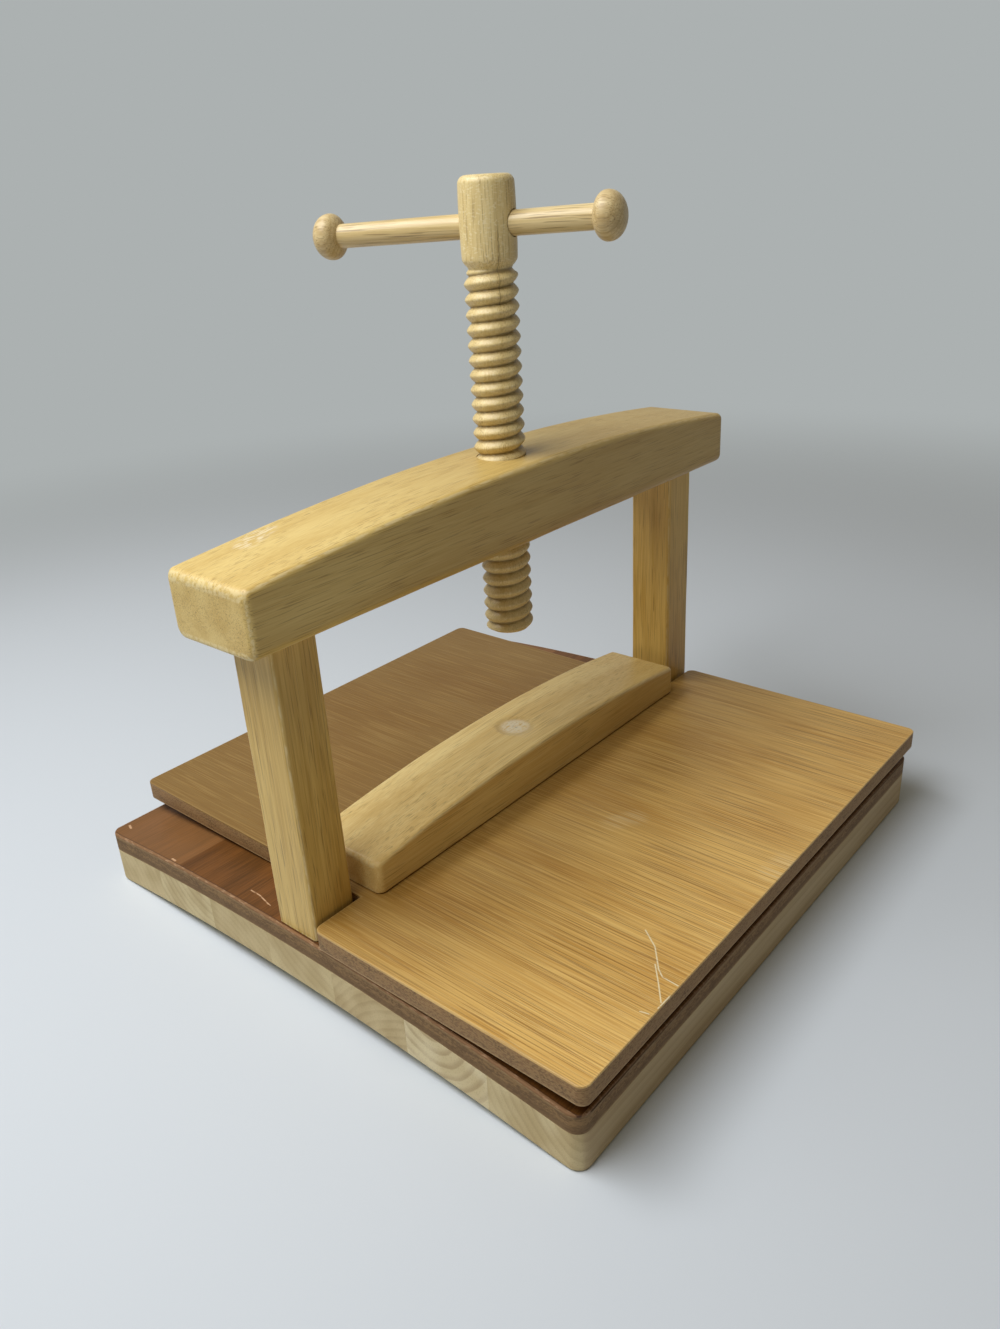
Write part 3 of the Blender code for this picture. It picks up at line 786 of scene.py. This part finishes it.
def planed_pine(name, start, heart_y, heart_z, ring, pale, late, strength):
    """Planed softwood: growth rings of a width in mm are cylinders about a heart line along X,
    swaying over some 18 mm, so that they show as arcs on the sawn ends and as straight lines
    on the long side, which is painted browner in front as shade. Sawn end grain scatters light
    and shows no gloss."""
    material, tree, shader, place = new_finish(name, pale)
    centred = add(tree, "Mapping", {"Vector": place, "Scale": (0.01, 1, 1),
                                    "Location": (0, -heart_y * mm, -heart_z * mm)}).outputs[0]
    sway = add(tree, "TexNoise", {"Vector": centred, "Scale": 55.0, "Detail": 1.0})
    radius = add(tree, "VectorMath", {0: centred}, operation="LENGTH")
    radius = weighed(tree, (sway.outputs[0], 3.0 * mm), (radius.outputs["Value"], 1.0))
    turn = add(tree, "Math", {0: radius, 1: ring * mm}, operation="DIVIDE").outputs[0]
    turn = add(tree, "Math", {0: turn}, operation="FRACT").outputs[0]
    latewood = product(tree, between(tree, turn, 0.35, 0.80), outside(tree, turn, 0.88, 1.0))
    fine = fibres(tree, place, 0, 0.6, 30, 1.0, start)
    cloud = fibres(tree, place, 0, 16, 120, 1.0, start + 2)
    lay_over(shader, late, between(tree, cloud, 0.30, 0.70))
    lay_over(shader, pale, outside(tree, cloud, 0.2, 0.8), 0.35)
    share = product(tree, latewood, between(tree, cloud, 0.10, 0.65), strength)
    lay_over(shader, "#96754A", share)
    lay_over(shader, "#8F7850", between(tree, fine, 0.52, 0.72), 0.22)
    # Painted shade: the front long side is darkened as the shade that falls there
    behind = add(tree, "SeparateXYZ", {"Vector": place}).outputs["Y"]
    front = box("base_face")[0][1]
    front_shade = outside(tree, behind, front + 0.2 * mm, front + 1.6 * mm)
    lay_over(shader, "#8A5F44", front_shade, 0.30)
    surface(shader, weighed(tree, (fine, 0.1), (1.0, 0.55)),
            weighed(tree, (fine, 0.6), (share, 0.5)), 0.04 * mm)
    return material


def zinc_steel():
    """Turned steel plated with zinc: bluish grey crystals of about 1 mm with a soft sheen."""
    material, tree, shader, place = new_finish("zinc_plated_steel", "#A3A6AA")
    crystals = add(tree, "TexVoronoi", {"Vector": place, "Scale": 900.0}).outputs[0]
    lay_over(shader, "#BFC2C6", crystals)
    shader.inputs["Metallic"].default_value = 1.0
    tree.links.new(weighed(tree, (crystals, 0.15), (1.0, 0.28)), shader.inputs["Roughness"])
    return material


def dress_base():
    """The glued pine strips, with the post screws' holes in the middle one, the brown panel
    and its veneer."""
    face_low, face_high = box("base_face")
    panel_low, panel_high = box("base_panel")
    for n, growth in enumerate(pine_strips):
        node = f"base_strip_{n + 1}"
        low, high = box(node)
        low_y = low[1] - (strip_seam if n else 0)
        high_y = high[1] + (strip_seam if n < len(pine_strips) - 1 else 0)
        mesh = bowed_layer(node + "_planed", low_y, high_y, 0.0, panel_low[2] - lap,
                           *strip_arrises, face_high)
        if n == len(pine_strips) // 2:
            mesh = carve(mesh, [screw_hole(s) for s in post_screws])
        pine = planed_pine(f"pine_{n + 1}", n * 3.7, *growth)
        finish_piece(mesh, pine, "frame_body", node)
    mesh = bowed_layer("base_panel_edge", panel_low[1], panel_high[1], panel_low[2] - lap,
                       panel_high[2] - base_crown, *panel_arrises, face_high)
    brown = fibre_board("brown_fibre_board", "#8A6A3E", "#674A26", "#A0845A", 2.0, 0.42)
    finish_piece(mesh, brown, "frame_body", "base_panel")
    mesh = bowed_layer("base_veneer", face_low[1], face_high[1], face_low[2] - lap,
                       face_high[2] - base_crown, *veneer_arrises, face_high)
    finish_piece(mesh, red_brown_veneer(), "frame_body", "base_face")


def screw_hole(node):
    """A countersunk hole round a wood screw: a cone for its head and a way out below."""
    low, high = box(node)
    radius = (high[0] - low[0]) / 2 + screw_play
    z = np.array([low[2] - 4 * mm, low[2], low[2] + countersink_depth, high[2] + mm])
    radii = np.array([radius, radius, radius * 0.5, radius * 0.5])
    mesh = turned("hole", z, radii, hole_columns)
    mesh.transform(Matrix.Translation(((low[0] + high[0]) / 2, (low[1] + high[1]) / 2, 0)))
    return mesh


def dress_board():
    """The press board's three layers: a wide front and a narrow part between the posts."""
    low, high = box("press_board_core")
    wide, front, back = high[0], low[1], high[1]
    narrow = box("right_post")[0][0] - board_guide_gap
    corners = ((-wide, front, True), (wide, front, True), (wide, board_step_y, True),
               (narrow, board_step_y, False), (narrow, back, True), (-narrow, back, True),
               (-narrow, board_step_y, False), (-wide, board_step_y, True))
    outline = rounded_plan(corners, board_corner)
    under = fibre_board("board_back_veneer", "#A5845A", "#7C5E3A", "#BC9C70", 17.0)
    core = fibre_board("board_fibre_core", "#86633C", "#3C2812", "#AC8858", 11.0)
    for node, material, slot, arris_low, arris_high in (
            ("press_board_back", under, "fibre_panel", 0.45 * mm, 0.05 * mm),
            ("press_board_core", core, "fibre_panel", 0.10 * mm, 0.10 * mm),
            ("press_board_face", golden_veneer(), "golden_veneer", 0.05 * mm, 0.40 * mm)):
        low, high = box(node)
        mesh = slab(node + "_cut", outline, low[2] - lap, high[2], arris_low, arris_high)
        if node != "press_board_face":
            mesh = carve(mesh, [screw_hole(s) for s in bar_screws])
        finish_piece(mesh, material, "board_body", node)


def dress_spreader():
    """The arched bar on the board, with the shallow dish that the screw has worn in it: its
    outline is given as shares of the dish's depth and radius."""
    mesh = arched_bar("spreader_bar_sanded", "spreader_bar", spreader_rise, spreader_arris,
                      spreader_corner, spreader_low_arris, spreader_foot, spreader_steps)
    top = box("spreader_bar")[1][2]
    z = np.array([-1, -0.92, -0.6, 0.0, 8.0]) * wear_ring_depth + top
    radii = np.array([0.55, 0.80, 0.93, 1.0, 1.06]) * wear_ring_radius
    mesh = carve(mesh, [turned("worn", z, radii)])
    finish_piece(mesh, spreader_hardwood(), "board_body", "spreader_bar")


def dress_beam():
    """The arched beam with the nut's thread cut through it, in step with the screw's."""
    mesh = arched_bar("beam_sanded", "beam", beam_rise, beam_arris, beam_arris, beam_low_arris,
                      beam_foot, beam_steps)
    tip = box("press_screw")[0][2]
    low, high = box("beam")
    first = int((low[2] - tip) / screw_pitch) - 1
    last = int((high[2] - tip) / screw_pitch) + 2
    z = np.linspace(first, last, (last - first) * thread_rows_per_turn + 1) * screw_pitch
    root = thread_radius - thread_depth + nut_clearance
    rings, _ = threaded_rings(z, root, mm, mm, bar_columns)
    rings[..., 2] += tip
    mesh = carve(mesh, [closed_mesh("nut", rings)])
    finish_piece(mesh, beam_hardwood(), "frame_body", "beam")


def dress_posts():
    """The two planed posts, with arrises that waver a little."""
    for n, node in enumerate(("left_post", "right_post")):
        low, high = box(node)
        z = stations(low[2], high[2], fine_arris, post_steps)
        half = (high[1] - low[1]) / 2 - quarter_inset(np.minimum(z - low[2], high[2] - z),
                                                      fine_arris)
        arris = post_arris + wave(z, 90 * mm, 0.2 * mm, n + 1.0)
        mesh = bar(node + "_planed", (2, 1, 0), z, half, np.full_like(z, low[0]),
                   np.full_like(z, high[0]), np.stack([arris] * 4, 1))
        wood = lacquered_hardwood(node + "_hardwood", 2, "#E0C070", "#C09A48", "#7A541E",
                                  start=31.0 + 9 * n, band=4)[0]
        finish_piece(mesh, wood, "frame_body", node)


def head_rings(bottom, top):
    """Rings of the screw's head: it swells from a neck, by shares of its length and radius,
    and ends in a quarter-round rim and two smaller rings that close it."""
    length = top - bottom
    share = np.array([0.0, 0.012, 0.03, 0.055, 0.075, 0.11, 0.2, 0.42, 0.65, 0.82])
    swell = np.array([0.82, 0.865, 0.905, 0.955, 0.975, 0.982, 0.99, 1.0, 0.995, 0.985])
    turn = np.linspace(0, pi / 2, 12)
    rim_z = length - head_rim * (1 - np.sin(turn))
    rim_r = head_radius * 0.975 - head_rim * (1 - np.cos(turn))
    z = np.concatenate([share * length, rim_z, [length, length]]) + bottom
    radius = np.concatenate([swell * head_radius, rim_r, [rim_r[-1] * 0.6, rim_r[-1] * 0.2]])
    angle = np.arange(round_columns) / round_columns * tau + tommy_heading
    return rings_about_z(radius[:, None], z, angle)


def dress_screw():
    """The turned screw: tip, thread, neck and head, with the hole for the cross bar and the
    bore for the pin in its tip."""
    low, high = box("press_screw")
    tip, top = low[2], high[2]
    rows = round(thread_length / screw_pitch * thread_rows_per_turn)
    z = np.linspace(0, thread_length, rows + 1)
    rings, groove = threaded_rings(z, thread_radius - thread_depth, tip_fade, neck_fade,
                                   round_columns)
    head = head_rings(thread_length + head_neck, top - tip)
    points = np.concatenate([rings, head])
    points[..., 2] += tip
    groove = np.concatenate([groove, np.zeros(head.shape[:2])])
    mesh = closed_mesh("press_screw_turned", points, groove=groove)
    across = turned("hole", np.array([-2, 2]) * head_radius,
                    np.full(2, tommy_bar_radius + tommy_hole_gap), bar_columns)
    across.transform(tommy_turn(0))
    pin_low, pin_high = box("thrust_pin")
    pin = turned("bore", np.array([pin_low[2] - 2 * mm, pin_high[2] + lap]),
                 np.full(2, (pin_high[0] - pin_low[0]) / 2 + lap), bore_columns)
    mesh = carve(mesh, [across, pin])
    finish_piece(mesh, screw_hardwood(), "screw_body", "press_screw")


def tommy_height():
    """Height of the cross bar's axis where it passes through the screw's head."""
    return box("press_screw")[1][2] - tommy_drop


def tommy_turn(along, side=1):
    """Lays a piece made about Z on the cross bar's axis, turned to its heading with its front
    end raised: its middle lies this far along, and its top points to the side."""
    return (Matrix.Translation((0, 0, tommy_height())) @ Matrix.Rotation(tommy_heading, 4, "Z")
            @ Matrix.Rotation(-tommy_tilt, 4, "Y") @ Matrix.Translation((along, 0, 0))
            @ Matrix.Rotation(pi / 2 * side, 4, "Y"))


def dress_tommy_bar():
    """The sliding bar, a dowel with a slight waviness, made about Z and laid to its heading."""
    half = tommy_span / 2 + tommy_bar_socket
    along = np.linspace(-half, half, dowel_rows)
    radius = tommy_bar_radius * (1 - 0.006 * (1 + np.sin(along * 90)))
    mesh = turned("tommy_bar_turned", along, radius, bar_columns)
    mesh.transform(tommy_turn(-tommy_shift))
    wood = lacquered_hardwood("tommy_hardwood", 0, "#E0CB98", "#BFA46A", "#7A5C34",
                              start=61.0, band=2.5, heading=tommy_heading,
                              pore_share=0.6, gloss=0.32)[0]
    finish_piece(mesh, wood, "tommy_body", "tommy_bar")


def dress_knobs():
    """The two turned knobs at the bar's ends: the radius goes by the square root of 1 less the
    distance from the middle, as a share, to the power of the fullness, and is a little larger
    on the bar's side."""
    t = np.linspace(0, 1, knob_rows)[1:-1]
    swell = (1 - np.abs(2 * t - 1) ** knob_fullness) ** 0.5
    lean = (1 + 0.05 * np.cos(pi * t)) / 1.03
    heart = (knob_heart[0], tommy_height() + knob_heart[1])
    for node, side in (("front_knob", 1), ("back_knob", -1)):
        mesh = turned(node + "_turned", (t - 0.5) * knob_thickness, knob_radius * swell * lean,
                      knob_columns)
        centre = side * (tommy_span + knob_thickness) / 2 - tommy_shift
        mesh.transform(tommy_turn(centre, side))
        wood = lacquered_hardwood(node + "_hardwood", 0, "#DDC897", "#B1935C", "#7B5C34",
                                  start=71.0 + side, band=3, heading=tommy_heading,
                                  heart=heart)[0]
        finish_piece(mesh, wood, "tommy_body", node)


def dress_hidden():
    """Finishes for the nodes that stay: steel screws and pin, and the hidden dowels."""
    steel = zinc_steel()
    wood = lacquered_hardwood("dowel_hardwood", 2, "#D8C08C", "#B5955C", "#7B5C34", start=81.0,
                              band=9)[0]
    for node in [*post_screws, *bar_screws, "thrust_pin", "left_post_dowel", "right_post_dowel"]:
        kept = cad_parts[node].data.materials
        kept.clear()
        kept.append(wood if node.endswith("dowel") else steel)


def seen_ray(tree):
    """1 for what the camera sees, straight or in gloss or glass, and 0 for light on the press."""
    path = add(tree, "LightPath", {})
    return strongest(tree, path.outputs["Is Camera Ray"], path.outputs["Is Glossy Ray"],
                     path.outputs["Is Transmission Ray"])


def set_floor():
    """A pale table top that fades into the backdrop for the camera alone."""
    bpy.ops.mesh.primitive_plane_add(size=floor_size, location=(0, 0, -floor_drop))
    floor = bpy.context.object
    floor.name = "floor"
    material, tree, shader, place = new_finish("pale_table_top", floor_colour)
    shader.inputs["Roughness"].default_value = 0.7
    shader.inputs["Specular IOR Level"].default_value = 0.2
    far = between(tree, axis_distance(tree, place), *floor_fade)
    glow = add(tree, "Emission", {"Color": linear(backdrop_colour)})
    faded = add(tree, "MixShader", {0: product(tree, far, seen_ray(tree)),
                                    1: shader.outputs[0], 2: glow.outputs[0]})
    tree.links.new(faded.outputs[0], tree.nodes["Material Output"].inputs["Surface"])
    floor.data.materials.append(material)


def set_surround():
    """A dim surround that lights the press, and the plain backdrop that is seen behind it."""
    world = bpy.data.worlds.new("surround")
    bpy.context.scene.world = world
    world.use_nodes = True
    tree = world.node_tree
    dim = [channel * surround_level for channel in linear(surround_colour)]
    seen = add(tree, "Mix", {0: seen_ray(tree), 6: dim, 7: linear(backdrop_colour)},
               data_type="RGBA")
    tree.links.new(seen.outputs[2], tree.nodes["Background"].inputs["Color"])


def set_lamps():
    """A wide soft key light from far above, and a near ceiling lamp behind on the left."""
    key = bpy.data.lights.new("key", "SUN")
    key.energy, key.angle, key.color = key_strength, key_angle, key_colour
    ceiling = bpy.data.lights.new("ceiling", "AREA")
    ceiling.shape, ceiling.energy = "RECTANGLE", ceiling_power
    ceiling.size, ceiling.size_y = ceiling_size
    for lamp, place in ((key, key_place), (ceiling, ceiling_place)):
        holder = put(lamp.name, lamp)
        holder.location = place
        holder.rotation_mode = "QUATERNION"
        aim = Vector(lamp_aim) - Vector(place)
        holder.rotation_quaternion = aim.to_track_quat("-Z", "Y")


def set_camera():
    """The photograph's camera."""
    camera = bpy.data.cameras.new("camera")
    camera.sensor_width = sensor_long_side
    camera.lens = focal_pixels / max(photo_width, photo_height) * sensor_long_side
    camera.clip_start = 0.01
    holder = put("camera", camera)
    holder.matrix_world = (Matrix.Translation(camera_place)
                           @ Matrix.Rotation(camera_heading, 4, "Z")
                           @ Matrix.Rotation(pi / 2 - camera_elevation, 4, "X")
                           @ Matrix.Rotation(camera_roll, 4, "Z"))
    bpy.context.scene.camera = holder


dress_base()
dress_board()
dress_spreader()
dress_beam()
dress_posts()
dress_screw()
dress_tommy_bar()
dress_knobs()
dress_hidden()
set_floor()
set_surround()
set_lamps()
set_camera()
bpy.context.scene.view_settings.view_transform = "Standard"
